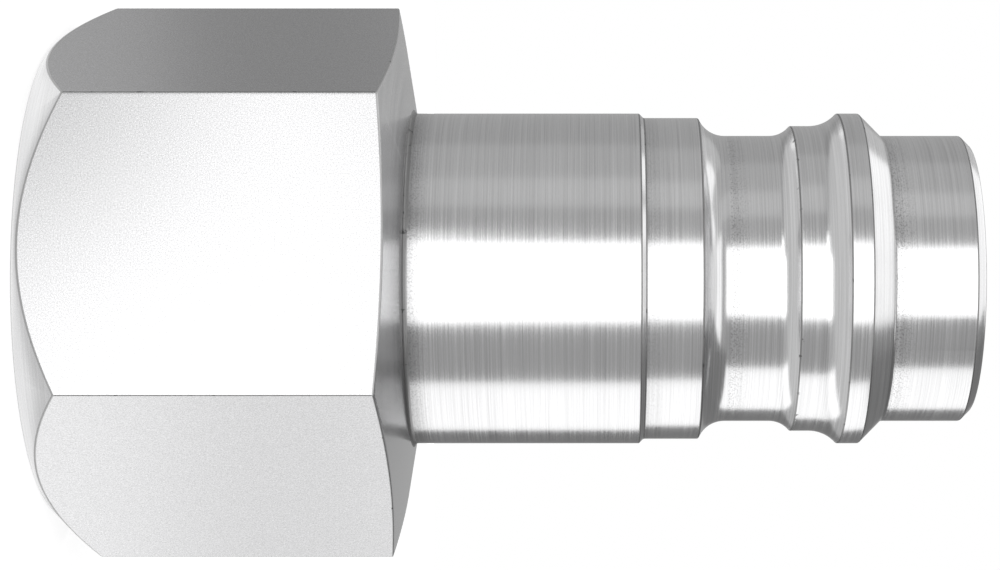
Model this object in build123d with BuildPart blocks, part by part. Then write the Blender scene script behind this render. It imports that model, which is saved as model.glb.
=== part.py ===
from build123d import *
import os
from math import cos, radians, sqrt, tan

# A valved quick coupling nipple with a female pipe thread, turned from hexagon bar.
# Sizes are in millimetres. The axis is Z, the threaded port face lies at z = 0
# and the nose points along +Z. Two flats of the hexagon face +Y and -Y.

# Hexagon
hex_across_flats = 27.0
hex_length = 18.55  # port face to the back corners of the hexagon
hex_face_margin = 0.35  # from a flat in to the circle that the 45 degree corner chamfer leaves
hex_edge_radius = 0.15
shoulder_angle = 9.7  # slope of the cone behind the hexagon, from square to the axis
shoulder_fillet = 0.35

# Outside of the plug, from the shoulder to the nose
body_diameter = 18.5
body_length = 12.55
lead_step = 0.25
lead_length = 3.05
groove_depth = 1.25  # below the body
groove_length = 2.5
groove_entry_radius = 1.6
groove_exit_radius = 1.5
land_height = 0.55  # above the groove
land_length = 1.05
collar_flank_radius = 2.1
collar_length = 1.15
nose_step = 1.25  # below the collar, which is as thick as the body
nose_length = 4.4
nose_foot_fillet = 0.3
nose_chamfer = 0.5
turned_edge_radius = 0.1

# Threaded port: 1/2 inch parallel pipe thread, bored to its minor diameter
thread_major_diameter = 20.955
thread_pitch = 1.814
thread_depth_ratio = 0.640327  # depth of a 55 degree thread over its pitch
thread_end = 13.4  # last full thread, from the port face
mouth_margin = 0.25  # countersink beyond the major radius
relief_margin = 0.12  # thread relief beyond the major radius
relief_length = 2.2

# Bores
nose_wall = 1.5
seat_step = 1.5  # height and width of the 45 degree valve seat
throat_length = 2.15
throat_edge = 0.3
guide_ledge = 1.5  # from the chamber out to the guide's bore

# Retaining ring and its groove
ring_land = 1.0  # wall between the port floor and the ring groove
ring_thickness = 1.0
ring_groove_width = 1.1
ring_groove_depth = 0.4
ring_clearance = 0.05
ring_width = 1.7  # halfway between the gap and the widest place
ring_offset = 0.25  # the ring is widest opposite its gap
ring_gap = 1.8
ring_lug_angle = 21.0
ring_lug_radius = 1.5
ring_lug_hole_diameter = 1.5

# Valve guide
guide_thickness = 2.0
guide_clearance = 0.05
guide_rim_width = 1.25
guide_pilot_clearance = 0.3  # inside of the spring to its pilot on the guide
guide_pilot_height = 1.2
guide_hub_length = 8.0
guide_spoke_width = 2.4
guide_spoke_count = 4
guide_edge = 0.3
stem_clearance = 0.05

# Poppet
stem_diameter = 3.5
stem_engagement = 5.0  # length of stem inside the hub when the valve is shut
stem_edge = 0.4
head_gap = 0.6  # head to chamber, the way past the head
head_length = 3.0
head_edge = 0.4
spigot_length = 1.2
spigot_clearance = 0.2  # inside of the spring to its spigot on the poppet
nose_gap = 0.25  # poppet nose to throat
nose_recess = 0.2  # poppet nose behind the front face
poppet_edge = 0.3

# Seal ring
seal_section = 1.5
seal_seat_gap = 0.05
seal_groove_clearance = 0.02

# Spring
spring_wire = 1.1
spring_gap = 1.0  # outside of the spring to the chamber
spring_open_coils = 4
spring_dead_gap = 0.12  # between the turns of a dead coil
spring_ground = 0.05  # height of the wire's centre above the ground face, as a share of the wire

# Radii that follow
hex_apothem = hex_across_flats / 2
hex_corner_radius = hex_apothem / cos(radians(30))
port_face_radius = hex_apothem - hex_face_margin
body_radius = body_diameter / 2
lead_radius = body_radius - lead_step
groove_radius = body_radius - groove_depth
land_radius = groove_radius + land_height
nose_radius = body_radius - nose_step
thread_radius = thread_major_diameter / 2 - thread_depth_ratio * thread_pitch
mouth_radius = thread_major_diameter / 2 + mouth_margin
relief_radius = thread_major_diameter / 2 + relief_margin
chamber_radius = nose_radius - nose_wall
throat_radius = chamber_radius - seat_step
guide_bore_radius = chamber_radius + guide_ledge
ring_groove_radius = guide_bore_radius + ring_groove_depth
spring_radius = chamber_radius - spring_gap - spring_wire / 2
spring_inner_radius = spring_radius - spring_wire / 2
spigot_radius = spring_inner_radius - spigot_clearance
pilot_radius = spring_inner_radius - guide_pilot_clearance
stem_radius = stem_diameter / 2
stem_bore_radius = stem_radius + stem_clearance
hub_radius = (stem_bore_radius + pilot_radius) / 2
seal_radius = seal_section / 2
seal_floor_radius = throat_radius - seal_radius - seal_groove_clearance
head_radius = chamber_radius - head_gap
poppet_nose_radius = throat_radius - nose_gap


def flank_length(rise, radius):
    """Axial length of a concave arc that leaves a cylinder tangentially and climbs by rise."""
    return sqrt(radius**2 - (radius - rise) ** 2)


# Places along the outside
hex_chamfer_z = hex_corner_radius - port_face_radius
shoulder_z = hex_length + (hex_corner_radius - body_radius) * tan(radians(shoulder_angle))
body_end_z = shoulder_z + body_length
lead_start_z = body_end_z + lead_step
lead_end_z = lead_start_z + lead_length
groove_start_z = lead_end_z + flank_length(lead_radius - groove_radius, groove_entry_radius)
groove_end_z = groove_start_z + groove_length
land_start_z = groove_end_z + flank_length(land_height, groove_exit_radius)
land_end_z = land_start_z + land_length
collar_start_z = land_end_z + flank_length(body_radius - land_radius, collar_flank_radius)
collar_end_z = collar_start_z + collar_length
nose_start_z = collar_end_z + nose_step
nose_end_z = nose_start_z + nose_length
front_z = nose_end_z + nose_chamfer

# Places along the bores
port_floor_z = thread_end + relief_length
ring_groove_start_z = port_floor_z + ring_land
guide_start_z = ring_groove_start_z + ring_groove_width
guide_seat_z = guide_start_z + guide_thickness
throat_start_z = front_z - throat_length
seat_start_z = throat_start_z - seat_step

# Places of the valve when it is shut, with the seal just clear of the 45 degree seat
seal_z = throat_start_z - (seal_radius + seal_seat_gap) * sqrt(2)
seal_groove_half = seal_radius + seal_groove_clearance
head_front_z = seal_z - seal_groove_half
head_back_z = head_front_z - head_length
spigot_end_z = head_back_z - spigot_length
poppet_front_z = front_z - nose_recess
stem_end_z = guide_start_z + guide_hub_length - stem_engagement


def turned_outline():
    """Half section of the outside, from the axis at the port face to the axis at the nose."""
    Polyline(
        (0, 0),
        (port_face_radius, 0),
        (hex_corner_radius, hex_chamfer_z),
        (hex_corner_radius, hex_length),
        (body_radius, shoulder_z),
        (body_radius, body_end_z),
        (lead_radius, lead_start_z),
        (lead_radius, lead_end_z),
    )
    TangentArc((groove_radius, groove_start_z), (lead_radius, lead_end_z), tangent=(0, -1))
    Line((groove_radius, groove_start_z), (groove_radius, groove_end_z))
    TangentArc((groove_radius, groove_end_z), (land_radius, land_start_z), tangent=(0, 1))
    Line((land_radius, land_start_z), (land_radius, land_end_z))
    TangentArc((land_radius, land_end_z), (body_radius, collar_start_z), tangent=(0, 1))
    Polyline(
        (body_radius, collar_start_z),
        (body_radius, collar_end_z),
        (nose_radius, nose_start_z),
        (nose_radius, nose_end_z),
        (nose_radius - nose_chamfer, front_z),
        (0, front_z),
        (0, 0),
    )


def bore_outline():
    """Half section of the hollow: port, thread relief, ring groove, guide bore, chamber, seat, throat."""
    Polyline(
        (0, 0),
        (mouth_radius, 0),
        (thread_radius, mouth_radius - thread_radius),
        (thread_radius, thread_end),
        (relief_radius, thread_end + relief_radius - thread_radius),
        (relief_radius, port_floor_z),
        (guide_bore_radius, port_floor_z),
        (guide_bore_radius, ring_groove_start_z),
        (ring_groove_radius, ring_groove_start_z),
        (ring_groove_radius, guide_start_z),
        (guide_bore_radius, guide_start_z),
        (guide_bore_radius, guide_seat_z),
        (chamber_radius, guide_seat_z),
        (chamber_radius, seat_start_z),
        (throat_radius, throat_start_z),
        (throat_radius, front_z - throat_edge),
        (throat_radius + throat_edge, front_z),
        (0, front_z),
        (0, 0),
    )


# Corners of the turned outline that get a fillet, each with its radius
rounded_corners = {
    (body_radius, shoulder_z): shoulder_fillet,
    (body_radius, body_end_z): turned_edge_radius,
    (lead_radius, lead_end_z): turned_edge_radius,
    (land_radius, land_start_z): turned_edge_radius,
    (land_radius, land_end_z): turned_edge_radius,
    (body_radius, collar_start_z): turned_edge_radius,
    (body_radius, collar_end_z): turned_edge_radius,
    (nose_radius, nose_start_z): nose_foot_fillet,
    (nose_radius, nose_end_z): turned_edge_radius,
}

# Nipple body: the turned form, milled to a hexagon at the port end, then bored
with BuildPart() as nipple_body:
    with BuildSketch(Plane.XZ) as turned_sketch:
        with BuildLine():
            turned_outline()
        make_face()
        for corner, radius in rounded_corners.items():
            fillet(turned_sketch.vertices().sort_by_distance(corner)[0], radius)
    revolve(axis=Axis.Z)
    with BuildSketch(Plane.XY) as hexagon_sketch:
        RegularPolygon(hex_apothem, 6, major_radius=False)
        fillet(hexagon_sketch.vertices(), hex_edge_radius)
    extrude(amount=front_z, mode=Mode.INTERSECT)
    with BuildSketch(Plane.XZ):
        with BuildLine():
            bore_outline()
        make_face()
    revolve(axis=Axis.Z, mode=Mode.SUBTRACT)

# Valve poppet: guide stem, spring spigot, head, seal groove and nose in one turning
with BuildPart() as valve_poppet:
    with BuildSketch(Plane.XZ):
        with BuildLine():
            Polyline(
                (0, stem_end_z),
                (stem_radius - stem_edge, stem_end_z),
                (stem_radius, stem_end_z + stem_edge),
                (stem_radius, spigot_end_z - (spigot_radius - stem_radius)),
                (spigot_radius, spigot_end_z),
                (spigot_radius, head_back_z),
                (head_radius, head_back_z),
                (head_radius, head_front_z - head_edge),
                (head_radius - head_edge, head_front_z),
                (seal_floor_radius, head_front_z),
                (seal_floor_radius, seal_z + seal_groove_half),
                (poppet_nose_radius, seal_z + seal_groove_half),
                (poppet_nose_radius, poppet_front_z - poppet_edge),
                (poppet_nose_radius - poppet_edge, poppet_front_z),
                (0, poppet_front_z),
                (0, stem_end_z),
            )
        make_face()
    revolve(axis=Axis.Z)

# Seal ring: its middle circle is as wide as the throat, so it meets the 45 degree seat
with BuildPart() as poppet_seal:
    with BuildSketch(Plane.XZ):
        with Locations((throat_radius, seal_z)):
            Circle(seal_radius)
    revolve(axis=Axis.Z)

# Valve guide: rim, spokes, spring pilot and hub, bored for the stem
with BuildPart() as valve_guide:
    rim_radius = guide_bore_radius - guide_clearance
    spoke_length = rim_radius - guide_rim_width / 2
    with BuildSketch(Plane.XY.offset(guide_start_z)):
        Circle(rim_radius)
        Circle(rim_radius - guide_rim_width, mode=Mode.SUBTRACT)
        with PolarLocations(0, guide_spoke_count):
            Rectangle(spoke_length, guide_spoke_width, align=(Align.MIN, Align.CENTER))
        Circle(pilot_radius)
    extrude(amount=guide_thickness)
    with BuildSketch(Plane.XY.offset(guide_seat_z)):
        Circle(pilot_radius)
    extrude(amount=guide_pilot_height)
    pilot_rim = valve_guide.edges().filter_by(GeomType.CIRCLE).group_by(Axis.Z)[-1]
    chamfer(pilot_rim, guide_edge)
    with BuildSketch(Plane.XY.offset(guide_start_z)):
        Circle(hub_radius)
    extrude(amount=guide_hub_length)
    hub_rim = valve_guide.edges().filter_by(GeomType.CIRCLE).group_by(Axis.Z)[-1]
    chamfer(hub_rim, guide_edge)
    with BuildSketch(Plane.XY.offset(guide_start_z)):
        Circle(stem_bore_radius)
    extrude(amount=guide_hub_length, mode=Mode.SUBTRACT)

# Valve spring: a dead coil at each end, open coils between, both ends ground flat.
# Each half turn is planar and meets the next one with a level tangent on the XZ plane.
with BuildPart() as valve_spring:
    wire_z = guide_seat_z + spring_wire * spring_ground
    last_wire_z = head_back_z - spring_wire * spring_ground
    dead_pitch = spring_wire + spring_dead_gap
    open_pitch = (last_wire_z - wire_z - 2 * dead_pitch) / spring_open_coils
    for pitch in [dead_pitch] + [open_pitch] * spring_open_coils + [dead_pitch]:
        rise = pitch / 2
        for side in (1, -1):
            with BuildSketch(Plane.XZ):
                with Locations((side * spring_radius, wire_z)):
                    Circle(spring_wire / 2)
            half_turn_axis = Axis((0, 0, wire_z + rise / 2), (side * rise, 0, 2 * spring_radius))
            revolve(axis=half_turn_axis, revolution_arc=180)
            wire_z += rise
    with BuildSketch(Plane.XY.offset(guide_seat_z)):
        Circle(chamber_radius)
    extrude(amount=head_back_z - guide_seat_z, mode=Mode.INTERSECT)

# Retaining ring: an eccentric ring with a gap and two lugs with plier holes
with BuildPart() as retaining_ring:
    ring_radius = ring_groove_radius - ring_clearance
    lug_centre_radius = ring_radius - ring_lug_radius
    with BuildSketch(Plane.XY.offset(guide_start_z - ring_thickness)):
        Circle(ring_radius)
        with Locations((ring_offset, 0)):
            Circle(ring_radius - ring_width, mode=Mode.SUBTRACT)
        with PolarLocations(lug_centre_radius, 2, -ring_lug_angle, 4 * ring_lug_angle):
            Circle(ring_lug_radius)
            Circle(ring_lug_hole_diameter / 2, mode=Mode.SUBTRACT)
        Rectangle(ring_radius, ring_gap, align=(Align.MIN, Align.CENTER), mode=Mode.SUBTRACT)
    extrude(amount=ring_thickness)

pieces = {
    "nipple_body": nipple_body,
    "valve_poppet": valve_poppet,
    "poppet_seal": poppet_seal,
    "valve_guide": valve_guide,
    "valve_spring": valve_spring,
    "retaining_ring": retaining_ring,
}
os.makedirs("parts", exist_ok=True)
for name, piece in pieces.items():
    piece.part.label = name
    export_step(piece.part, f"parts/{name}.step")
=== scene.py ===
"""Looks of a valved quick coupling nipple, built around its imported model.

The nipple stands on its threaded port: its axis is +Z and the port face lies at z = 0.
Sizes are fields in millimetres, and meshes are in metres.
"""

import logging
from collections.abc import Sequence
from dataclasses import dataclass, field
from enum import Enum
from math import atan, atan2, ceil, cos, floor, pi, radians, sin, sqrt, tan

import bmesh
import bpy
from bmesh.types import BMEdge, BMesh, BMFace, BMLayerItem, BMVert
from bpy.types import Material, Node, NodeSocket, NodeTree, Object
from mathutils import Matrix, Vector


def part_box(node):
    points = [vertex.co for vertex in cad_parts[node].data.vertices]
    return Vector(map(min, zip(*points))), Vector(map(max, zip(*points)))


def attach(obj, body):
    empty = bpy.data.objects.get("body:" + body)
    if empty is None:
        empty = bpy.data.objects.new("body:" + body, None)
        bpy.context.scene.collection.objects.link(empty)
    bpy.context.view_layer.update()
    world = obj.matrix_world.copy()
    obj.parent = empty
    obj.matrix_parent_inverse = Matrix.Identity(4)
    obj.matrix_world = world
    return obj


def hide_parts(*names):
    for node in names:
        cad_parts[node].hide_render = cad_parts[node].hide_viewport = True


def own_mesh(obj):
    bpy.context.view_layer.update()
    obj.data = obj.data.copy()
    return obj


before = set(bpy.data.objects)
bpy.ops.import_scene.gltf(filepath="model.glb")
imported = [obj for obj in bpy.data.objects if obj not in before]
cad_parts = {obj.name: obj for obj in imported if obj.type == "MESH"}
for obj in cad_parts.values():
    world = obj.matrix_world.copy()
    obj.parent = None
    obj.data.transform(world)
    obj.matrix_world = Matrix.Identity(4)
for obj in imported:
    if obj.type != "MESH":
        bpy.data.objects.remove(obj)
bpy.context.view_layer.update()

MM = 0.001
MERGE_DISTANCE = MM / 1000  # points this close become one
CUT_TOLERANCE = MM / 10000  # a point this close to a cutting plane lies on it
WALL_RADIUS = 300
WALL_TOP = 300
TABLE_Z = -134
CEILING_Z = 599
log = logging.getLogger("quick_coupling_nipple")


class Body(Enum):
    """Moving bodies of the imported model."""

    NIPPLE = "nipple"
    POPPET = "poppet"


class Surface(Enum):
    """Kinds of machined surface on the nipple's body, by their place among its materials."""

    TURNED = 0
    MILLED = 1
    FACED = 2
    BORED = 3
    # small roundings of real shape, whose darker colour paints their dark reflection as a line
    EDGE = 4
    SHOULDER = 5
    # roundings of real shape where the flats meet the cones, whose darker colour paints the grey line of
    # their reflection
    PAINTED_GREY_RIM = 6


@dataclass(frozen=True)
class Corner:
    """A corner of a half section.

    Args:
        r: Distance from the axis.
        z: Height above the port face.
        reach: How far the rounding of the corner runs along each of its two sides.
        steps: Number of facets across the rounding.
        surface: Kind of surface that leaves the corner.
        rounding: Kind of surface on the rounding itself.
    """

    r: float
    z: float
    reach: float = 0.0
    steps: int = 2
    surface: Surface = Surface.TURNED
    rounding: Surface = Surface.EDGE


@dataclass(frozen=True)
class Ring:
    """One ring of a turned mesh, with the kind of surface between it and the next ring."""

    r: float
    z: float
    surface: Surface


@dataclass(frozen=True)
class FootPaintedShadeAndSpecks:
    """The foot of a shoulder, darkened by painted shade where the corner lies in shade, and by dark specks.

    Args:
        z: Its height in millimetres.
        reach: How far the painted shade and the specks reach along the axis.
        shade: How much of the light the painted shade takes at the foot.
        specks: How much of the light a speck takes.
    """

    z: float
    reach: float
    shade: float
    specks: float


@dataclass(frozen=True)
class Nicks:
    """Nicks of an edge.

    Args:
        share: Level of the noise below which there is a nick. 0.5 would be half of the surface.
        edge: Height of the edge in millimetres.
        reach: How far the nicks reach from it.
    """

    share: float
    edge: float = 0.0
    reach: float = 10000.0  # all over the piece


def rounded(corners: Sequence[Corner]) -> list[Ring]:
    """Turns the corners of a half section into the rings of a mesh.

    Args:
        corners: The corners in order. The first and the last stay sharp.

    Returns:
        The rings, with each rounding as a parabola that leaves both of its sides tangentially.
    """
    rings = [Ring(corners[0].r, corners[0].z, corners[0].surface)]
    for before, corner, after in zip(corners, corners[1:], corners[2:]):
        here = Vector((corner.r, corner.z))
        if not corner.reach:
            rings.append(Ring(here.x, here.y, corner.surface))
            continue
        back = (Vector((before.r, before.z)) - here).normalized() * corner.reach
        ahead = (Vector((after.r, after.z)) - here).normalized() * corner.reach
        for step in range(corner.steps + 1):
            t = step / corner.steps
            place = here + back * (1 - t) ** 2 + ahead * t**2
            last = step == corner.steps
            rings.append(Ring(place.x, place.y, corner.surface if last else corner.rounding))
    rings.append(Ring(corners[-1].r, corners[-1].z, corners[-1].surface))
    return rings


def as_object(name: str, bm: BMesh) -> Object:
    """Makes an object in the scene from a finished mesh.

    Args:
        name: Name of the piece.
        bm: The mesh, in metres. It is freed.

    Returns:
        The object, at the origin, with smooth faces that point outwards.
    """
    bmesh.ops.recalc_face_normals(bm, faces=bm.faces)
    for face in bm.faces:
        face.smooth = True
    mesh = bpy.data.meshes.new(name)
    bm.to_mesh(mesh)
    bm.free()
    piece = bpy.data.objects.new(name, mesh)
    bpy.context.scene.collection.objects.link(piece)
    return piece


def weigh_normals(piece: Object) -> None:
    """Lets the large faces of a piece set its shading, so that flats read flat up to their edges.

    Args:
        piece: The piece. Its sharp edges stay sharp.
    """
    weighted = piece.modifiers.new("large_faces_lead", "WEIGHTED_NORMAL")
    weighted.mode = "FACE_AREA"
    weighted.weight = 100
    weighted.keep_sharp = True


def spin_section(bm: BMesh, rings: Sequence[Ring], columns: int) -> BMLayerItem:
    """Spins a half section once round the Z axis.

    Args:
        bm: The mesh that gets the surface.
        rings: The half section, in millimetres.
        columns: Number of steps round the axis.

    Returns:
        The vertex layer that holds the number of each vertex's ring, counted from 1.
    """
    row = bm.verts.layers.int.new("row")
    section = []
    for number, ring in enumerate(rings, start=1):
        vertex = bm.verts.new((ring.r * MM, 0, ring.z * MM))
        vertex[row] = number
        section.append(vertex)
    edges = [bm.edges.new(pair) for pair in zip(section, section[1:])]
    bmesh.ops.spin(
        bm, geom=section + edges, cent=(0, 0, 0), axis=(0, 0, 1), dvec=(0, 0, 0),
        angle=2 * pi, steps=columns, use_merge=True,
    )
    return row


def add_mesh(bm: BMesh, part: BMesh) -> None:
    """Adds one mesh to another.

    Args:
        bm: The mesh that is added to.
        part: The mesh that is added. It is freed.
    """
    passing = bpy.data.meshes.new("passing")
    part.to_mesh(passing)
    part.free()
    bm.from_mesh(passing)
    bpy.data.meshes.remove(passing)


def cut_off(bm: BMesh, height: float, normal: tuple[int, int, int]) -> None:
    """Cuts away what lies beyond a level plane.

    Args:
        bm: The mesh.
        height: Height of the plane in millimetres.
        normal: Direction of the side that is cut away.
    """
    bmesh.ops.bisect_plane(
        bm, geom=[*bm.verts, *bm.edges, *bm.faces], dist=CUT_TOLERANCE,
        plane_co=(0, 0, height * MM), plane_no=normal, clear_outer=True,
    )


@dataclass
class PortThread:
    """Internal parallel pipe thread of the port, cut back by its countersink and its relief."""

    major_radius: float = 10.4775
    pitch: float = 1.814
    flank_angle: float = 27.5
    round_share: float = 0.137329  # radius of the crests and roots, over the pitch
    depth_share: float = 0.640327  # depth over the pitch
    end: float = 13.4
    mouth_margin: float = 0.25
    relief_margin: float = 0.12
    relief_length: float = 2.2
    lead_in: float = 1.5  # pitches that are cut before the port face
    columns: int = 192
    arc_steps: int = 4

    @property
    def minor_radius(self) -> float:
        """Radius to the crests."""
        return self.major_radius - self.depth_share * self.pitch

    @property
    def mouth_radius(self) -> float:
        """Radius of the countersink on the port face."""
        return self.major_radius + self.mouth_margin

    @property
    def relief_radius(self) -> float:
        """Radius of the relief behind the thread."""
        return self.major_radius + self.relief_margin

    @property
    def floor(self) -> float:
        """Height of the port floor, where the relief ends."""
        return self.end + self.relief_length

    def tooth(self, start: float) -> list[Vector]:
        """Half section of one pitch of the thread.

        Args:
            start: Height of the first crest's middle.

        Returns:
            Points from one crest to the next, in the XZ plane, in metres.
        """
        rounding = self.round_share * self.pitch
        sweep = radians(90 - self.flank_angle)
        angles = [sweep * (2 * step / self.arc_steps - 1) for step in range(self.arc_steps + 1)]
        crest = self.minor_radius + rounding
        root = self.major_radius - rounding
        middle, end = start + self.pitch / 2, start + self.pitch
        points = [(crest - rounding * cos(a), start + rounding * sin(a)) for a in angles if a >= 0]
        points += [(root + rounding * cos(a), middle + rounding * sin(a)) for a in angles]
        points += [(crest - rounding * cos(a), end + rounding * sin(a)) for a in angles if a <= 0]
        return [Vector((r, 0, z)) * MM for r, z in points]

    def cut(self) -> BMesh:
        """Makes the threaded wall.

        Returns:
            A mesh of its own, open at the port face and at the port floor.
        """
        bm = bmesh.new()
        start = -self.lead_in * self.pitch
        turns = ceil((self.floor - start) / self.pitch) + 1
        section = [bm.verts.new(point) for point in self.tooth(start)]
        edges = [bm.edges.new(pair) for pair in zip(section, section[1:])]
        bmesh.ops.spin(
            bm, geom=section + edges, cent=(0, 0, 0), axis=(0, 0, 1),
            dvec=(0, 0, self.pitch * MM / self.columns), angle=2 * pi, steps=self.columns,
        )
        one_turn = [*bm.verts, *bm.edges, *bm.faces]
        for turn in range(1, turns):
            copied = bmesh.ops.duplicate(bm, geom=one_turn)["geom"]
            points = [part for part in copied if isinstance(part, BMVert)]
            bmesh.ops.translate(bm, verts=points, vec=(0, 0, turn * self.pitch * MM))
        bmesh.ops.remove_doubles(bm, verts=bm.verts, dist=MERGE_DISTANCE)
        cut_off(bm, 0.0, (0, 0, -1))
        cut_off(bm, self.floor, (0, 0, 1))
        for vertex in bm.verts:
            self.bore_away(vertex)
        return bm

    def bore_away(self, vertex: BMVert) -> None:
        """Moves a vertex of the thread out to the countersink or to the relief, where these are wider.

        Args:
            vertex: The vertex.
        """
        radius = vertex.co.xy.length / MM
        height = vertex.co.z / MM
        mouth = self.mouth_radius - height
        relief = min(self.relief_radius, self.minor_radius + height - self.end)
        wider = max(radius, mouth, relief)
        vertex.co.xy *= wider / radius


@dataclass
class NippleBody:
    """The one-piece body: hexagon, shoulder, plug with its grooves, and the bores behind the port."""

    name: str = "nipple_body_fine"
    across_flats: float = 27.0
    hex_length: float = 18.55
    face_margin: float = 0.35
    hex_edge_radius: float = 0.15
    hex_edge_painted_line: float = 0.06  # half the width of the painted dark line along it, a darker colour that stands in for the rounding's dark reflection
    shoulder_angle: float = 9.7
    shoulder_fillet: float = 0.35
    fillet_share: float = 0.6  # reach of the fillet's rounding, over its radius
    body_radius: float = 9.25
    body_length: float = 12.55
    lead_step: float = 0.25
    lead_length: float = 3.05
    groove_depth: float = 1.25
    groove_length: float = 2.5
    entry_radius: float = 1.6
    exit_radius: float = 1.5
    land_height: float = 0.55
    land_length: float = 1.05
    collar_flank_radius: float = 2.1
    collar_length: float = 1.15
    nose_step: float = 1.25
    nose_length: float = 4.4
    nose_foot_reach: float = 0.12
    nose_chamfer: float = 0.5
    nose_wall: float = 1.5
    seat_step: float = 1.5
    throat_length: float = 2.15
    throat_edge: float = 0.3
    guide_ledge: float = 1.5
    guide_thickness: float = 2.0
    ring_land: float = 1.0
    ring_groove_width: float = 1.1
    ring_groove_depth: float = 0.4
    rim_width: float = 0.3
    fine_break: float = 0.05
    broad_break: float = 0.08
    flank_steps: int = 10
    columns: int = 384
    crowding: float = 1.6  # how strongly the columns gather at the hexagon's corners
    join_margin: float = 0.3
    thread: PortThread = field(default_factory=PortThread)

    @property
    def apothem(self) -> float:
        """Distance from the axis to a flat."""
        return self.across_flats / 2

    @property
    def corner_radius(self) -> float:
        """Distance from the axis to a sharp corner of the hexagon."""
        return self.apothem / cos(radians(30))

    @property
    def shoulder_z(self) -> float:
        """Height at which the shoulder's cone meets the body."""
        slope = tan(radians(self.shoulder_angle))
        return self.hex_length + (self.corner_radius - self.body_radius) * slope

    @property
    def groove_z(self) -> float:
        """Height at which the groove's floor starts."""
        lead_end = self.shoulder_z + self.body_length + self.lead_step + self.lead_length
        aside = self.entry_radius - self.groove_depth + self.lead_step
        return lead_end + sqrt(self.entry_radius**2 - aside**2)

    @property
    def land_z(self) -> float:
        """Height of the land's edge on the groove's side."""
        climb = sqrt(self.exit_radius**2 - (self.exit_radius - self.land_height) ** 2)
        return self.groove_z + self.groove_length + climb

    @property
    def feet_painted_shade_and_specks(self) -> tuple[FootPaintedShadeAndSpecks, ...]:
        """The feet of the shoulder, the step, the groove and the collar, darkened by painted shade and dark
        specks.

        Returns:
            The feet, from the hexagon to the nose. The collar's comes twice, as its shade and its specks
            reach differently far.
        """
        step_z = self.shoulder_z + self.body_length + self.lead_step
        nose_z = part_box("nipple_body")[1][2] / MM - self.nose_chamfer - self.nose_length
        # shade is painted shade in each corner, and specks are dark marks on the steel
        return (
            FootPaintedShadeAndSpecks(self.shoulder_z - 0.2, reach=1.6, shade=0.65, specks=0.5),
            FootPaintedShadeAndSpecks(step_z - 0.1, reach=1.4, shade=0.15, specks=0.2),
            FootPaintedShadeAndSpecks(self.groove_z - 0.1, reach=1.3, shade=0.0, specks=0.42),
            FootPaintedShadeAndSpecks(nose_z - 0.12, reach=0.4, shade=0.45, specks=0.0),
            FootPaintedShadeAndSpecks(nose_z - 0.1, reach=1.5, shade=0.0, specks=0.5),
        )

    def flat_radius(self, turn: float) -> float:
        """Distance from the axis to the hexagon.

        Args:
            turn: Angle from the middle of the nearest flat, up to 30 degrees each way, in radians.

        Returns:
            The distance, along the flat or round the small edge radius at its end.
        """
        flat_end = atan((self.apothem - self.hex_edge_radius) * tan(radians(30)) / self.apothem)
        if abs(turn) <= flat_end:
            return self.apothem / cos(turn)
        centre = self.corner_radius - self.hex_edge_radius / cos(radians(30))
        aside = radians(30) - abs(turn)
        return centre * cos(aside) + sqrt(self.hex_edge_radius**2 - (centre * sin(aside)) ** 2)

    def crowd(self, angle: float) -> float:
        """Moves an evenly spaced column towards the nearest corner of the hexagon.

        Args:
            angle: Even angle round the axis, in radians.

        Returns:
            The angle of the crowded column. Corners and the middles of flats stay where they are.
        """
        sextant = radians(60)
        number = floor(angle / sextant)
        share = 2 * (angle / sextant - number) - 1  # from -1 to 1, with a flat's middle at 0
        crowded = 1 - (1 - abs(share)) ** self.crowding
        return (number + 0.5) * sextant + (crowded if share > 0 else -crowded) * sextant / 2

    def flank(self, start_r: float, end_r: float, start_z: float, bend: float) -> tuple[list[Corner], float]:
        """Corners along a concave flank that meets the smaller of its two cylinders tangentially.

        Args:
            start_r: Radius where the flank starts.
            end_r: Radius where it ends.
            start_z: Height where it starts.
            bend: Radius of the flank's own curve.

        Returns:
            The corners between the two ends, and the height where the flank ends.
        """
        rise = abs(end_r - start_r)
        length = sqrt(bend**2 - (bend - rise) ** 2)
        full = atan2(length, bend - rise)
        corners = []
        for step in range(1, self.flank_steps):
            share = step / self.flank_steps
            turn = full * (1 - share if end_r < start_r else share)
            along = bend * sin(turn)
            z = start_z + (length - along if end_r < start_r else along)
            corners.append(Corner(min(start_r, end_r) + bend * (1 - cos(turn)), z))
        return corners, start_z + length

    def half_section(self, flat: float) -> list[Corner]:
        """Half section of the body at one place round the axis.

        Args:
            flat: Distance from the axis to the hexagon there.

        Returns:
            The corners from the port face over the outside and back through the bore to the thread relief.
        """
        face_radius = self.apothem - self.face_margin
        slope = tan(radians(self.shoulder_angle))
        shoulder = self.hex_length + self.corner_radius * slope
        lead = self.body_radius - self.lead_step
        groove = self.body_radius - self.groove_depth
        land = groove + self.land_height
        collar = self.body_radius
        nose = self.body_radius - self.nose_step
        fine, broad = self.fine_break, self.broad_break
        inner = flat - self.rim_width

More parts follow.
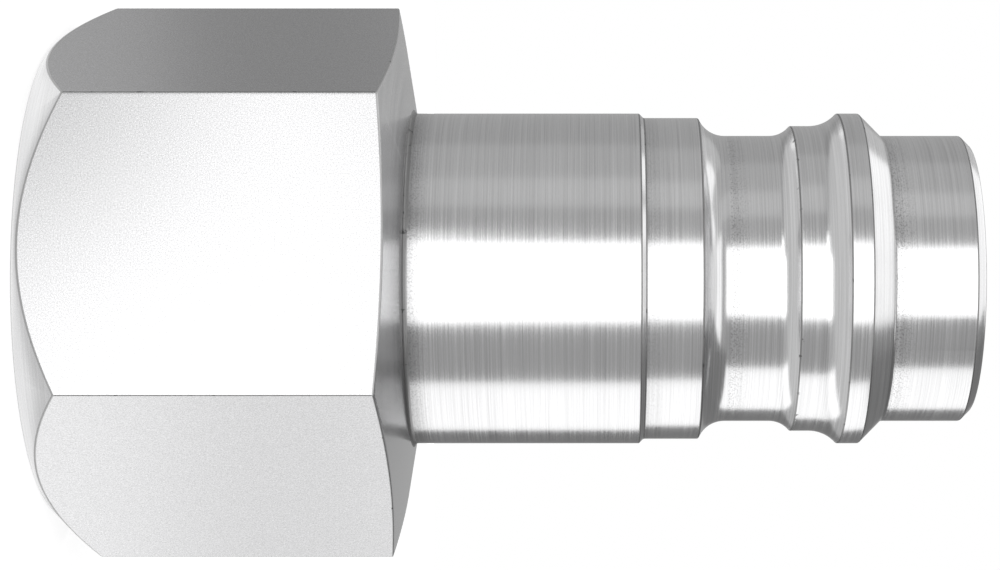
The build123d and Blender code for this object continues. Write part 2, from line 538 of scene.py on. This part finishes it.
        corners = [
            Corner(self.thread.mouth_radius + self.join_margin, 0, surface=Surface.FACED),
            Corner(face_radius, 0, fine, surface=Surface.FACED),
            Corner(flat, flat - face_radius, broad, surface=Surface.MILLED, rounding=Surface.PAINTED_GREY_RIM),
            Corner(flat, shoulder - flat * slope, broad, surface=Surface.SHOULDER, rounding=Surface.PAINTED_GREY_RIM),
            Corner(inner, shoulder - inner * slope, surface=Surface.SHOULDER),
            Corner(self.body_radius, self.shoulder_z, self.shoulder_fillet * self.fillet_share, steps=6),
        ]
        z = self.shoulder_z + self.body_length
        corners += [Corner(self.body_radius, z, fine), Corner(lead, z + self.lead_step, fine)]
        z += self.lead_step + self.lead_length
        corners.append(Corner(lead, z, broad))
        entry, z = self.flank(lead, groove, z, self.entry_radius)
        corners += [*entry, Corner(groove, z), Corner(groove, z + self.groove_length)]
        climb, z = self.flank(groove, land, z + self.groove_length, self.exit_radius)
        corners += [*climb, Corner(land, z, fine), Corner(land, z + self.land_length)]
        climb, z = self.flank(land, collar, z + self.land_length, self.collar_flank_radius)
        corners += [*climb, Corner(collar, z, fine), Corner(collar, z + self.collar_length, fine)]
        z += self.collar_length + self.nose_step
        corners.append(Corner(nose, z, self.nose_foot_reach, steps=4, rounding=Surface.TURNED))
        z += self.nose_length
        corners.append(Corner(nose, z, fine))
        front = z + self.nose_chamfer
        corners.append(Corner(nose - self.nose_chamfer, front, fine, surface=Surface.FACED))
        return corners + self.bore_corners(nose, front)

    def bore_corners(self, nose: float, front: float) -> list[Corner]:
        """Corners of the bore, from the front face back to the thread relief.

        Args:
            nose: Radius of the nose.
            front: Height of the front face.

        Returns:
            The corners.
        """
        chamber = nose - self.nose_wall
        throat = chamber - self.seat_step
        throat_start = front - self.throat_length
        guide_bore = chamber + self.guide_ledge
        ring_groove = guide_bore + self.ring_groove_depth
        floor_z = self.thread.floor
        ring_start = floor_z + self.ring_land
        ring_end = ring_start + self.ring_groove_width
        ledge = ring_end + self.guide_thickness
        fine = self.fine_break
        walls = [
            (throat + self.throat_edge, front),
            (throat, front - self.throat_edge),
            (throat, throat_start),
            (chamber, throat_start - self.seat_step),
            (chamber, ledge),
            (guide_bore, ledge),
            (guide_bore, ring_end),
            (ring_groove, ring_end),
            (ring_groove, ring_start),
            (guide_bore, ring_start),
            (guide_bore, floor_z),
        ]
        corners = [Corner(r, z, fine, surface=Surface.BORED) for r, z in walls]
        return [*corners, Corner(guide_bore + self.join_margin, floor_z, surface=Surface.BORED)]

    def build(self) -> Object:
        """Spins the half section, mills the hexagon into it and joins the thread.

        Returns:
            The body as one closed mesh.
        """
        bm = bmesh.new()
        turned = rounded(self.half_section(self.corner_radius))
        row = spin_section(bm, turned, self.columns)
        self.mill(bm, row)
        for face in bm.faces:
            first = min(vertex[row] for vertex in face.verts)
            surface = turned[first - 1].surface
            # faces on the small radius between two flats get the painted dark line
            if surface is Surface.MILLED and self.on_hex_edge(face):
                surface = Surface.EDGE
            face.material_index = surface.value
        turned_faces = len(bm.faces)
        add_mesh(bm, self.thread.cut())
        bm.faces.ensure_lookup_table()
        for face in bm.faces[turned_faces:]:
            face.material_index = Surface.BORED.value
        for height, surface in ((0.0, Surface.FACED), (self.thread.floor, Surface.BORED)):
            rims = [edge for edge in bm.edges if edge.is_boundary]
            rims = [edge for edge in rims if abs(edge.verts[0].co.z / MM - height) < self.join_margin]
            for edge in rims:
                edge.smooth = False
            for part in bmesh.ops.triangle_fill(bm, use_beauty=True, edges=rims, normal=(0, 0, -1))["geom"]:
                if isinstance(part, BMFace):
                    part.material_index = surface.value
        piece = as_object(self.name, bm)
        weigh_normals(piece)
        return piece

    def mill(self, bm: BMesh, row: BMLayerItem) -> None:
        """Moves each column of the spun mesh to the half section that the milled hexagon leaves there.

        Args:
            bm: The spun mesh.
            row: Its layer of ring numbers.
        """
        sections: dict[float, list[Ring]] = {}
        for vertex in bm.verts:
            column = round(atan2(vertex.co.y, vertex.co.x) * self.columns / (2 * pi))
            angle = self.crowd(column * 2 * pi / self.columns)
            flat = round(self.flat_radius(self.from_flat(angle)), 7)
            if flat not in sections:
                sections[flat] = rounded(self.half_section(flat))
            ring = sections[flat][vertex[row] - 1]
            vertex.co = Vector((ring.r * cos(angle), ring.r * sin(angle), ring.z)) * MM

    def on_hex_edge(self, face: BMFace) -> bool:
        """Tells whether a milled face lies on the small radius between two flats.

        Args:
            face: The face.

        Returns:
            True where all its corners lie within the painted dark line.
        """
        reach = self.hex_edge_painted_line / self.corner_radius
        turns = [self.from_flat(atan2(vertex.co.y, vertex.co.x)) for vertex in face.verts]
        return all(radians(30) - abs(turn) < reach for turn in turns)

    def from_flat(self, angle: float) -> float:
        """Angle from the middle of the nearest flat, with flats on +Y and -Y, in radians."""
        return angle % radians(60) - radians(30)

    def dress(self, piece: Object, finishes: Sequence[Material]) -> None:
        """Gives the body its finishes and its place.

        Args:
            piece: The body.
            finishes: One material for each kind of surface, in their order.
        """
        for material in finishes:
            piece.data.materials.append(material)
        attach(piece, Body.NIPPLE.value)
        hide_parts("nipple_body")


@dataclass
class ValveSpring:
    """Compression spring of round wire: a dead coil at each end, open coils between, ends ground flat."""

    name: str = "valve_spring_fine"
    wire: float = 1.1
    mean_radius: float = 4.95
    dead_gap: float = 0.12
    ground_share: float = 0.05
    open_coils: int = 4
    wire_sides: int = 20
    steps: int = 72
    travel: float = 4.5

    def __post_init__(self) -> None:
        """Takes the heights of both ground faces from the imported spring."""
        low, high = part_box("valve_spring")
        self.foot, self.top = low[2] / MM, high[2] / MM

    def build(self) -> Object:
        """Spins the wire's circle along the coils and grinds both ends.

        Returns:
            The spring as one closed mesh.
        """
        bm = bmesh.new()
        start = self.foot + self.wire * self.ground_share
        dead_pitch = self.wire + self.dead_gap
        climb = self.top - self.wire * self.ground_share - start
        open_pitch = (climb - 2 * dead_pitch) / self.open_coils
        place = Matrix.Translation(Vector((self.mean_radius, 0, start)) * MM)
        bmesh.ops.create_circle(
            bm, cap_ends=True, segments=self.wire_sides, radius=self.wire / 2 * MM,
            matrix=place @ Matrix.Rotation(pi / 2, 4, "X"),
        )
        section = [*bm.verts, *bm.edges]
        for turns, pitch in ((1, dead_pitch), (self.open_coils, open_pitch), (1, dead_pitch)):
            spun = bmesh.ops.spin(
                bm, geom=section, cent=(0, 0, 0), axis=(0, 0, 1), dvec=(0, 0, pitch * MM / self.steps),
                angle=2 * pi * turns, steps=self.steps * turns,
            )
            section = spun["geom_last"]
        bmesh.ops.edgeloop_fill(bm, edges=[part for part in section if isinstance(part, BMEdge)])
        for height, normal in ((self.foot, (0, 0, -1)), (self.top, (0, 0, 1))):
            cut_off(bm, height, normal)
            rim = [edge for edge in bm.edges if edge.is_boundary]
            bmesh.ops.triangle_fill(bm, use_beauty=True, edges=rim, normal=normal)
        piece = as_object(self.name, bm)
        weigh_normals(piece)
        return piece

    def dress(self, piece: Object, finish: Material) -> None:
        """Gives the spring its finish and place, and a mesh of its own.

        Args:
            piece: The spring.
            finish: Drawn wire.
        """
        piece.data.materials.append(finish)
        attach(piece, Body.NIPPLE.value)
        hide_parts("valve_spring")
        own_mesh(piece)


class Graph:
    """A node tree that is being wired."""

    def __init__(self, tree: NodeTree) -> None:
        """Starts with an empty tree."""
        self.tree = tree
        tree.nodes.clear()

    def add(self, kind: str, values: dict[str, object] | None = None, **settings: object) -> Node:
        """Adds a node.

        Args:
            kind: Blender's name of the node's type.
            values: Values, or sockets to link, by the name of the input.
            settings: Properties of the node.

        Returns:
            The node.
        """
        node = self.tree.nodes.new(kind)
        for name, value in settings.items():
            setattr(node, name, value)
        for name, value in (values or {}).items():
            self.put(value, node.inputs[name])
        return node

    def put(self, value: object, socket: NodeSocket) -> None:
        """Links a socket to an input, or sets the input's own value.

        Args:
            value: The socket or the value.
            socket: The input.
        """
        if isinstance(value, NodeSocket):
            self.tree.links.new(value, socket)
        else:
            socket.default_value = value

    def math(self, operation: str, first: object, second: object = 0.0) -> NodeSocket:
        """Adds a math node.

        Args:
            operation: Blender's name of the operation.
            first: A value or a socket.
            second: Another.

        Returns:
            The result.
        """
        node = self.add("ShaderNodeMath", operation=operation)
        self.put(first, node.inputs[0])
        self.put(second, node.inputs[1])
        return node.outputs[0]

    def clamped(self, value: NodeSocket) -> NodeSocket:
        """Keeps a value between 0 and 1."""
        return self.add("ShaderNodeClamp", {"Value": value}).outputs[0]

    def place(self) -> NodeSocket:
        """Place on the piece, in Object coordinates."""
        return self.add("ShaderNodeTexCoord").outputs["Object"]

    def noise(self, place: NodeSocket, scale: object, detail: float, roughness: float) -> NodeSocket:
        """Adds a noise texture.

        Args:
            place: Where it is read.
            scale: How many of its spots a metre holds.
            detail: Number of finer layers.
            roughness: Weight of each finer layer.

        Returns:
            Its level, which varies about 0.5.
        """
        values = {"Vector": place, "Scale": scale, "Detail": detail, "Roughness": roughness}
        return self.add("ShaderNodeTexNoise", values).outputs["Fac"]

    def scaled(self, colour: tuple[float, float, float], level: NodeSocket) -> NodeSocket:
        """Makes a colour lighter or darker.

        Args:
            colour: The colour.
            level: What it is multiplied by.

        Returns:
            The result.
        """
        tint = self.add("ShaderNodeVectorMath", operation="SCALE")
        self.put(colour, tint.inputs[0])
        self.put(level, tint.inputs["Scale"])
        return tint.outputs[0]


def new_material(name: str) -> tuple[Material, Graph]:
    """Makes a material with an empty node tree.

    Args:
        name: Name of the material.

    Returns:
        The material and its graph.
    """
    made = bpy.data.materials.new(name)
    made.use_nodes = True
    return made, Graph(made.node_tree)


def new_group(name: str, inputs: dict[str, float], outputs: Sequence[str]) -> NodeTree:
    """Makes an empty shader node group of plain numbers.

    Args:
        name: Name of the group.
        inputs: Default value of each input, by name.
        outputs: Name of each output.

    Returns:
        The group, with its sockets and no nodes.
    """
    group = bpy.data.node_groups.new(name, "ShaderNodeTree")
    for socket_name, default in inputs.items():
        socket = group.interface.new_socket(name=socket_name, in_out="INPUT", socket_type="NodeSocketFloat")
        socket.default_value = default
    for socket_name in outputs:
        group.interface.new_socket(name=socket_name, in_out="OUTPUT", socket_type="NodeSocketFloat")
    return group


class Marks:
    """The shared node groups of what machining and handling leave on a surface, and of the painted shade at
    the feet of shoulders.
    """

    SHADE_AND_SPECKS_ONSET = 8.0  # how many times faster the painted shade and the specks begin than they end
    SHADE_FALL = 1.6  # power with which the painted shade falls off
    SPECK_START = 0.5  # level of the noise where a speck begins
    SPECK_FULL = 0.64  # level where it is fully dark
    NICK_FADE = 0.12  # how far the share of nicks falls over one reach
    NICK_SHARPNESS = 20.0  # how steeply a nick begins
    NICK_DEPTH = 0.7  # share of the light that a nick takes

    def __init__(self) -> None:
        """Builds each group once."""
        self.machining = self.machining_group()
        self.painted_shade_and_specks = self.painted_shade_and_specks_group()
        self.nicks = self.nicks_group()

    def machining_group(self) -> NodeTree:
        """Makes the group of fine lines round the axis and of an even grain.

        Returns:
            The group. Lines and Grain vary about 0.
        """
        group = new_group(
            "machining_marks",
            {"Lines per metre": 6000.0, "Runs per metre": 60.0, "Grain per metre": 14000.0},
            ("Lines", "Grain"),
        )
        graph = Graph(group)
        given = graph.add("NodeGroupInput")
        place = graph.place()
        across, along = given.outputs["Runs per metre"], given.outputs["Lines per metre"]
        stretch = graph.add("ShaderNodeCombineXYZ", {"X": across, "Y": across, "Z": along})
        stretched = graph.add("ShaderNodeVectorMath", operation="MULTIPLY")
        graph.put(place, stretched.inputs[0])
        graph.put(stretch.outputs[0], stretched.inputs[1])
        lines = graph.noise(stretched.outputs[0], 1.0, detail=3.0, roughness=0.75)
        grain = graph.noise(place, given.outputs["Grain per metre"], detail=2.0, roughness=0.6)
        lines, grain = graph.math("SUBTRACT", lines, 0.5), graph.math("SUBTRACT", grain, 0.5)
        graph.add("NodeGroupOutput", {"Lines": lines, "Grain": grain})
        return group

    def painted_shade_and_specks_group(self) -> NodeTree:
        """Makes the group that darkens the foot of a shoulder: a smooth painted shade and dark specks.

        Returns:
            The group. Kept is the share of the light that is left, from 0 to 1.
        """
        group = new_group(
            "shoulder_painted_shade_and_specks",
            {"Foot": 0.0, "Reach": 0.001, "Shade": 0.0, "Specks": 0.3, "Specks per metre": 13000.0},
            ("Kept",),
        )
        graph = Graph(group)
        given = graph.add("NodeGroupInput")
        place = graph.place()
        height = graph.add("ShaderNodeSeparateXYZ", {"Vector": place}).outputs["Z"]
        beyond = graph.math("SUBTRACT", height, given.outputs["Foot"])
        far = graph.math("DIVIDE", beyond, given.outputs["Reach"])
        begun = graph.clamped(graph.math("MULTIPLY", far, self.SHADE_AND_SPECKS_ONSET))
        near = graph.math("MULTIPLY", graph.clamped(graph.math("SUBTRACT", 1.0, far)), begun)
        noise = graph.noise(place, given.outputs["Specks per metre"], detail=2.0, roughness=0.5)
        speck = graph.add(
            "ShaderNodeMapRange", {"Value": noise, "From Min": self.SPECK_START, "From Max": self.SPECK_FULL}
        )
        specks = graph.math("MULTIPLY", speck.outputs[0], near)
        specks = graph.math("MULTIPLY", specks, given.outputs["Specks"])
        # painted shade: the colour grows darker towards the corner, where shade falls
        shade = graph.math("MULTIPLY", graph.math("POWER", near, self.SHADE_FALL), given.outputs["Shade"])
        kept = graph.math("MULTIPLY", graph.math("SUBTRACT", 1.0, specks), graph.math("SUBTRACT", 1.0, shade))
        graph.add("NodeGroupOutput", {"Kept": kept})
        return group

    def nicks_group(self) -> NodeTree:
        """Makes the group of small nicks along an edge.

        Returns:
            The group. Mask is 1 in a nick and 0 elsewhere, and nicks grow rarer away from the edge's height.
        """
        group = new_group(
            "edge_nicks", {"Nicks per metre": 1500.0, "Share": 0.36, "Edge": 0.0, "Reach": 10.0}, ("Mask",)
        )
        graph = Graph(group)
        given = graph.add("NodeGroupInput")
        place = graph.place()
        height = graph.add("ShaderNodeSeparateXYZ", {"Vector": place}).outputs["Z"]
        away = graph.math("ABSOLUTE", graph.math("SUBTRACT", height, given.outputs["Edge"]))
        fading = graph.math("MULTIPLY", graph.math("DIVIDE", away, given.outputs["Reach"]), self.NICK_FADE)
        noise = graph.noise(place, given.outputs["Nicks per metre"], detail=3.0, roughness=0.7)
        deep = graph.math("SUBTRACT", graph.math("SUBTRACT", given.outputs["Share"], fading), noise)
        mask = graph.clamped(graph.math("MULTIPLY", deep, self.NICK_SHARPNESS))
        graph.add("NodeGroupOutput", {"Mask": mask})
        return group


@dataclass(frozen=True)
class MetalFinish:
    """A machined metal surface.

    Args:
        name: Name of the material.
        colour: Colour of the metal.
        roughness: Mean roughness.
        line_tint: How far the turning lines change the colour, as a share.
        grain_tint: How far the grain changes it.
        line_gloss: How far the lines change the roughness, as a share.
        relief: Height of the marks in metres.
        lines: Lines per metre along the axis.
        grain: Grains per metre.
        shoulders: The feet that get painted shade and dark specks.
        nicks: Nicks of its edges.
    """

    name: str
    colour: tuple[float, float, float]
    roughness: float
    line_tint: float = 0.0
    grain_tint: float = 0.0
    line_gloss: float = 0.0
    relief: float = 0.0
    lines: float = 6000.0
    grain: float = 14000.0
    shoulders: tuple[FootPaintedShadeAndSpecks, ...] = ()
    nicks: Nicks | None = None

    def material(self, marks: Marks) -> Material:
        """Builds the material.

        Args:
            marks: The shared marks.

        Returns:
            The material.
        """
        made, graph = new_material(self.name)
        values = {"Lines per metre": self.lines, "Grain per metre": self.grain}
        machining = graph.add("ShaderNodeGroup", values, node_tree=marks.machining)
        lines, grain = machining.outputs["Lines"], machining.outputs["Grain"]
        line_change = graph.math("MULTIPLY", lines, self.line_tint)
        change = graph.math("ADD", line_change, graph.math("MULTIPLY", grain, self.grain_tint))
        level = graph.math("ADD", change, 1.0)
        # painted shade and dark specks darken the colour at the feet of shoulders
        for foot in self.shoulders:
            values = {
                "Foot": foot.z * MM, "Reach": foot.reach * MM, "Shade": foot.shade, "Specks": foot.specks,
            }
            painted_shade_and_specks = graph.add("ShaderNodeGroup", values, node_tree=marks.painted_shade_and_specks)
            level = graph.math("MULTIPLY", level, painted_shade_and_specks.outputs["Kept"])
        if self.nicks:
            values = {"Share": self.nicks.share, "Edge": self.nicks.edge * MM, "Reach": self.nicks.reach * MM}
            nicks = graph.add("ShaderNodeGroup", values, node_tree=marks.nicks)
            taken = graph.math("MULTIPLY", nicks.outputs["Mask"], marks.NICK_DEPTH)
            kept = graph.math("SUBTRACT", 1.0, taken)
            level = graph.math("MULTIPLY", level, kept)
        values = {
            "Base Color": graph.scaled(self.colour, level),
            "Metallic": 1.0,
            "Roughness": self.roughness,
        }
        if self.line_gloss:
            share = graph.math("ADD", graph.math("MULTIPLY", lines, self.line_gloss), 1.0)
            values["Roughness"] = graph.math("MULTIPLY", share, self.roughness)
        if self.relief:
            bump = graph.add("ShaderNodeBump", {"Strength": 1.0, "Distance": self.relief, "Height": change})
            values["Normal"] = bump.outputs[0]
        shader = graph.add("ShaderNodeBsdfPrincipled", values)
        graph.add("ShaderNodeOutputMaterial", {"Surface": shader.outputs[0]})
        return made


@dataclass(frozen=True)
class RubberFinish:
    """Smooth black seal rubber with a faint mottle."""

    name: str = "seal_rubber_black"
    colour: tuple[float, float, float] = (0.022, 0.022, 0.023)
    roughness: float = 0.42
    mottle: float = 0.5
    grain: float = 3000.0

    def material(self, marks: Marks) -> Material:
        """Builds the material.

        Args:
            marks: The shared marks, of which it uses the grain.

        Returns:
            The material.
        """
        made, graph = new_material(self.name)
        machining = graph.add("ShaderNodeGroup", {"Grain per metre": self.grain}, node_tree=marks.machining)
        level = graph.math("ADD", graph.math("MULTIPLY", machining.outputs["Grain"], self.mottle), 1.0)
        rough = graph.math("MULTIPLY", level, self.roughness)
        colour = graph.scaled(self.colour, level)
        shader = graph.add("ShaderNodeBsdfPrincipled", {"Base Color": colour, "Roughness": rough})
        graph.add("ShaderNodeOutputMaterial", {"Surface": shader.outputs[0]})
        return made


@dataclass
class ValveParts:
    """The valve's own pieces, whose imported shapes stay: poppet, seal ring, guide and retaining ring."""

    steel: Material
    rubber: Material
    ring_steel: Material

    def dress(self) -> None:
        """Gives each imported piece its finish."""
        finishes = {
            "valve_poppet": self.steel,
            "valve_guide": self.steel,
            "poppet_seal": self.rubber,
            "retaining_ring": self.ring_steel,
        }
        for name, finish in finishes.items():
            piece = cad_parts[name]
            for slot in piece.material_slots:
                slot.material = finish
            log.info("%s: %s", name, finish.name)


@dataclass(frozen=True)
class Panel:
    """A sheet of even light, or a grey card, that stands or lies round the nipple.

    Args:
        name: What it is.
        start: Where it starts, in degrees from the camera's side towards the top of the photograph.
        end: Where it ends.
        level: Its brightness, where 1 is white.
        section: Its radius and height at each of its bends, in millimetres.
    """

    name: str
    start: float
    end: float
    level: float
    section: tuple[tuple[float, float], ...]


def wall(
    name: str, start: float, end: float, level: float, foot: float = TABLE_Z, top: float = WALL_TOP
) -> Panel:
    """A panel that stands upright, by default from the table to the top of the walls."""
    return Panel(name, start, end, level, ((WALL_RADIUS, foot), (WALL_RADIUS, top)))


def level_sheet(
    name: str, start: float, end: float, level: float, outer: float, inner: float, z: float
) -> Panel:
    """A panel that lies level between two distances from the axis."""
    return Panel(name, start, end, level, ((outer, z), (inner, z)))


@dataclass
class Studio:
    """Floor, tent of panels, white surroundings and the camera of the photograph."""

    azimuth: float = 7.8
    distance: float = 135.0
    height: float = 29.45
    focal_px: float = 2400.0
    principal_px: tuple[float, float] = (590.0, 278.4)
    image_px: tuple[float, float] = (1000.0, 570.0)
    sensor_width: float = 36.0
    sheet_step: float = 3.0  # degrees across a facet of a sheet
    floor_radius: float = 320.0
    floor_glow: float = 0.74
    floor_colour: float = 0.5
    panels: tuple[Panel, ...] = (
        wall("softbox", -30.5, 25, 1.8, foot=-8, top=170),
        wall("softbox_low", -30.5, 32, 2.6, foot=-40, top=-8),
        wall("softbox_foot", -30.5, 16.5, 2.6, foot=-90, top=-40),
        wall("card_under_softbox", -30.5, 16.5, 0.8, top=-90),
        wall("card_over_softbox", -30.5, 25, 0.45, foot=170, top=300),
        wall("card_beside_softbox", 25, 49, 0.46, foot=-8, top=280),
        wall("card_high", 49, 72, 0.62, foot=-8, top=280),
        wall("card_higher", 72, 104, 0.5, foot=-8, top=280),
        wall("cards_low", 32, 104, 0.41, foot=-40, top=-8),
        wall("card_in_corner", 16.5, 104, 0.6, foot=-45, top=-40),
        wall("cards_foot", 16.5, 135, 0.68, top=-45),
        wall("cards_top", 40, 104, 0.6, foot=280, top=600),
        wall("card_behind", 104, 195, 0.42, foot=-6, top=150),
        wall("card_behind_high", 104, 180, 0.6, foot=150, top=285),
        wall("card_behind_low", 104, 195, 0.35, foot=-45, top=-6),
        wall("card_behind_lower", 135, 195, 0.5, foot=-85, top=-45),
        wall("card_behind_foot", 135, 195, 1.2, top=-85),
        wall("card_below_softbox", -74.5, -30.5, 0.4, foot=-45, top=125),
        wall("card_below_high", -62, -30.5, 0.38, foot=125, top=285),
        wall("card_below_foot", -74.5, -30.5, 0.53, top=-45),
        wall("fill_light", -129, -74.5, 1.4, foot=-6, top=125),
        wall("fill_light_low", -129, -74.5, 1.22, foot=-45, top=-6),
        wall("fill_light_foot", -129, -74.5, 1.6, top=-45),
        wall("dark_card_high", -129, -62, 0.22, foot=125, top=600),
        wall("dark_corner", -165, -129, 0.21, foot=-30, top=600),
        wall("dark_corner_foot", -165, -129, 0.5, top=-30),
        wall("dark_corner_behind", -180, -165, 0.26, foot=150, top=600),
        level_sheet("dark_cloth_overhead", -150, -60, 0.28, 310, 180, CEILING_Z),
        level_sheet("pale_cloth_overhead", -60, 60, 0.92, 310, 90, CEILING_Z),
        level_sheet("table_front", -130, 122, 0.7, WALL_RADIUS, 0, TABLE_Z),
        level_sheet("table_back", 122, 230, 1.12, 190, 0, TABLE_Z),
        level_sheet("table_rim", 122, 150, 0.75, WALL_RADIUS, 190, TABLE_Z),
        level_sheet("table_rim_behind", 150, 210, 1.15, WALL_RADIUS, 190, TABLE_Z),
        level_sheet("table_rim_dark", 210, 230, 0.6, WALL_RADIUS, 190, TABLE_Z),
        Panel("tent", -180, 180, 1.3, ((320, -140), (320, 600), (0, 600))),
    )

    def camera(self) -> None:
        """Sets the camera square to the nipple's axis, turned so that the axis lies level in the picture."""
        turn = radians(self.azimuth)
        back = Vector((sin(turn), -cos(turn), 0))
        up = Vector((-cos(turn), -sin(turn), 0))
        data = bpy.data.cameras.new("photo_camera")
        width, depth = self.image_px
        data.sensor_width = self.sensor_width
        data.lens = self.sensor_width * self.focal_px / width
        data.shift_x = (width / 2 - self.principal_px[0]) / width
        data.shift_y = (self.principal_px[1] - depth / 2) / width
        camera = bpy.data.objects.new("photo_camera", data)
        eye = (back * self.distance + Vector((0, 0, self.height))) * MM
        aim = Matrix((Vector((0, 0, 1)), up, back)).transposed().to_4x4()
        camera.matrix_world = Matrix.Translation(eye) @ aim
        bpy.context.scene.collection.objects.link(camera)
        bpy.context.scene.camera = camera

    def sector(self, name: str, section: Sequence[tuple[float, float]], start: float, end: float) -> Object:
        """Spins an open section between two directions round the nipple.

        Args:
            name: Name of the object.
            section: Its radius and height at each point, in millimetres.
            start: Where it starts, in degrees from the camera's side.
            end: Where it ends.

        Returns:
            The sheet.
        """
        bm = bmesh.new()
        first = radians(self.azimuth - end - 90)
        points = [bm.verts.new(Vector((r * cos(first), r * sin(first), z)) * MM) for r, z in section]
        edges = [bm.edges.new(pair) for pair in zip(points, points[1:])]
        bmesh.ops.spin(
            bm, geom=points + edges, cent=(0, 0, 0), axis=(0, 0, 1), dvec=(0, 0, 0),
            angle=radians(end - start), steps=ceil((end - start) / self.sheet_step),
        )
        return as_object(name, bm)

    def glow(self, name: str, level: float) -> Material:
        """Makes an evenly bright material.

        Args:
            name: Name of the material.
            level: Its brightness, where 1 is white.

        Returns:
            The material.
        """
        made, graph = new_material(name)
        light = graph.add("ShaderNodeEmission", {"Strength": level})
        graph.add("ShaderNodeOutputMaterial", {"Surface": light.outputs[0]})
        return made

    def tent(self) -> None:
        """Hangs the panels round the nipple."""
        for panel in self.panels:
            sheet = self.sector(panel.name, panel.section, panel.start, panel.end)
            sheet.data.materials.append(self.glow(f"{panel.name}_light", panel.level))
            sheet.visible_camera = False

    def floor(self) -> None:
        """Lays a pale floor that is white to the lens and keeps the nipple's shadow.

        It is hidden from mirror rays: the metal reflects the pale tables below it in its place.
        """
        disc = self.sector("floor", [(0, 0), (self.floor_radius, 0)], -180, 180)
        disc.visible_glossy = False
        made, graph = new_material("pale_floor")
        path = graph.add("ShaderNodeLightPath")
        seen = graph.math("ADD", path.outputs["Is Camera Ray"], path.outputs["Is Glossy Ray"])
        seen = graph.math("ADD", seen, path.outputs["Is Transmission Ray"])
        lit = graph.add("ShaderNodeBsdfDiffuse", {"Color": (*[self.floor_colour] * 3, 1)})
        light = graph.add("ShaderNodeEmission", {"Strength": graph.math("MULTIPLY", seen, self.floor_glow)})
        both = graph.add("ShaderNodeAddShader")
        graph.put(lit.outputs[0], both.inputs[0])
        graph.put(light.outputs[0], both.inputs[1])
        graph.add("ShaderNodeOutputMaterial", {"Surface": both.outputs[0]})
        disc.data.materials.append(made)

    def surroundings(self) -> None:
        """Makes everything beyond the floor plain white."""
        world = bpy.data.worlds.new("white_room")
        world.use_nodes = True
        graph = Graph(world.node_tree)
        light = graph.add("ShaderNodeBackground", {"Color": (1, 1, 1, 1), "Strength": 1.0})
        graph.add("ShaderNodeOutputWorld", {"Surface": light.outputs[0]})
        bpy.context.scene.world = world
        bpy.context.scene.view_settings.view_transform = "Standard"


def main() -> None:
    """Builds every piece, dresses it and sets up the picture."""
    logging.basicConfig(level=logging.INFO, format="%(name)s: %(message)s")
    studio = Studio()
    studio.camera()
    studio.surroundings()
    studio.tent()
    studio.floor()

    marks = Marks()
    steel, flat_steel = (0.73, 0.73, 0.735), (0.55, 0.55, 0.555)
    body = NippleBody()
    finishes = [
        MetalFinish(
            "turned_steel", steel, 0.2, line_tint=0.7, grain_tint=0.1, line_gloss=1.0, relief=4e-7,
            lines=13000, shoulders=body.feet_painted_shade_and_specks,
            nicks=Nicks(share=0.46, edge=body.land_z + 0.03, reach=0.12),
        ),
        MetalFinish("milled_steel", flat_steel, 0.25, grain_tint=0.8, relief=1e-6),
        MetalFinish("faced_steel", steel, 0.25, line_tint=0.4, grain_tint=0.2, relief=4e-7),
        MetalFinish("bored_steel", (0.6, 0.6, 0.605), 0.3, line_tint=0.24, line_gloss=1.5, relief=4e-7),
        # darker colour paints the dark reflection of small roundings as a line; the nicks are wear
        MetalFinish("edge_steel_painted_dark", (0.3, 0.3, 0.3), 0.4, grain_tint=0.4, nicks=Nicks(share=0.38)),
        MetalFinish("shoulder_steel", steel, 0.2, line_tint=0.3, line_gloss=1.0, relief=4e-7),
        # darker colour paints the grey line that these roundings' reflection shows; the nicks are wear
        MetalFinish("rim_steel_painted_grey", (0.5, 0.5, 0.5), 0.35, grain_tint=0.3, nicks=Nicks(share=0.34)),
    ]
    piece = body.build()
    body.dress(piece, [finish.material(marks) for finish in finishes])
    log.info("%s: %d faces", piece.name, len(piece.data.polygons))

    spring = ValveSpring()
    piece = spring.build()
    wire = MetalFinish("drawn_wire", (0.5, 0.5, 0.51), 0.28, grain_tint=0.2, relief=4e-7)
    spring.dress(piece, wire.material(marks))
    log.info("%s: %d faces", piece.name, len(piece.data.polygons))

    valve_steel = MetalFinish("valve_steel_turned", (0.66, 0.66, 0.67), 0.22, line_tint=0.2, line_gloss=1.5)
    ring_steel = MetalFinish("oiled_ring_steel", (0.2, 0.2, 0.21), 0.32, grain_tint=0.3, grain=5000)
    valve = ValveParts(
        steel=valve_steel.material(marks),
        rubber=RubberFinish().material(marks),
        ring_steel=ring_steel.material(marks),
    )
    valve.dress()


if __name__ == "__main__":
    main()
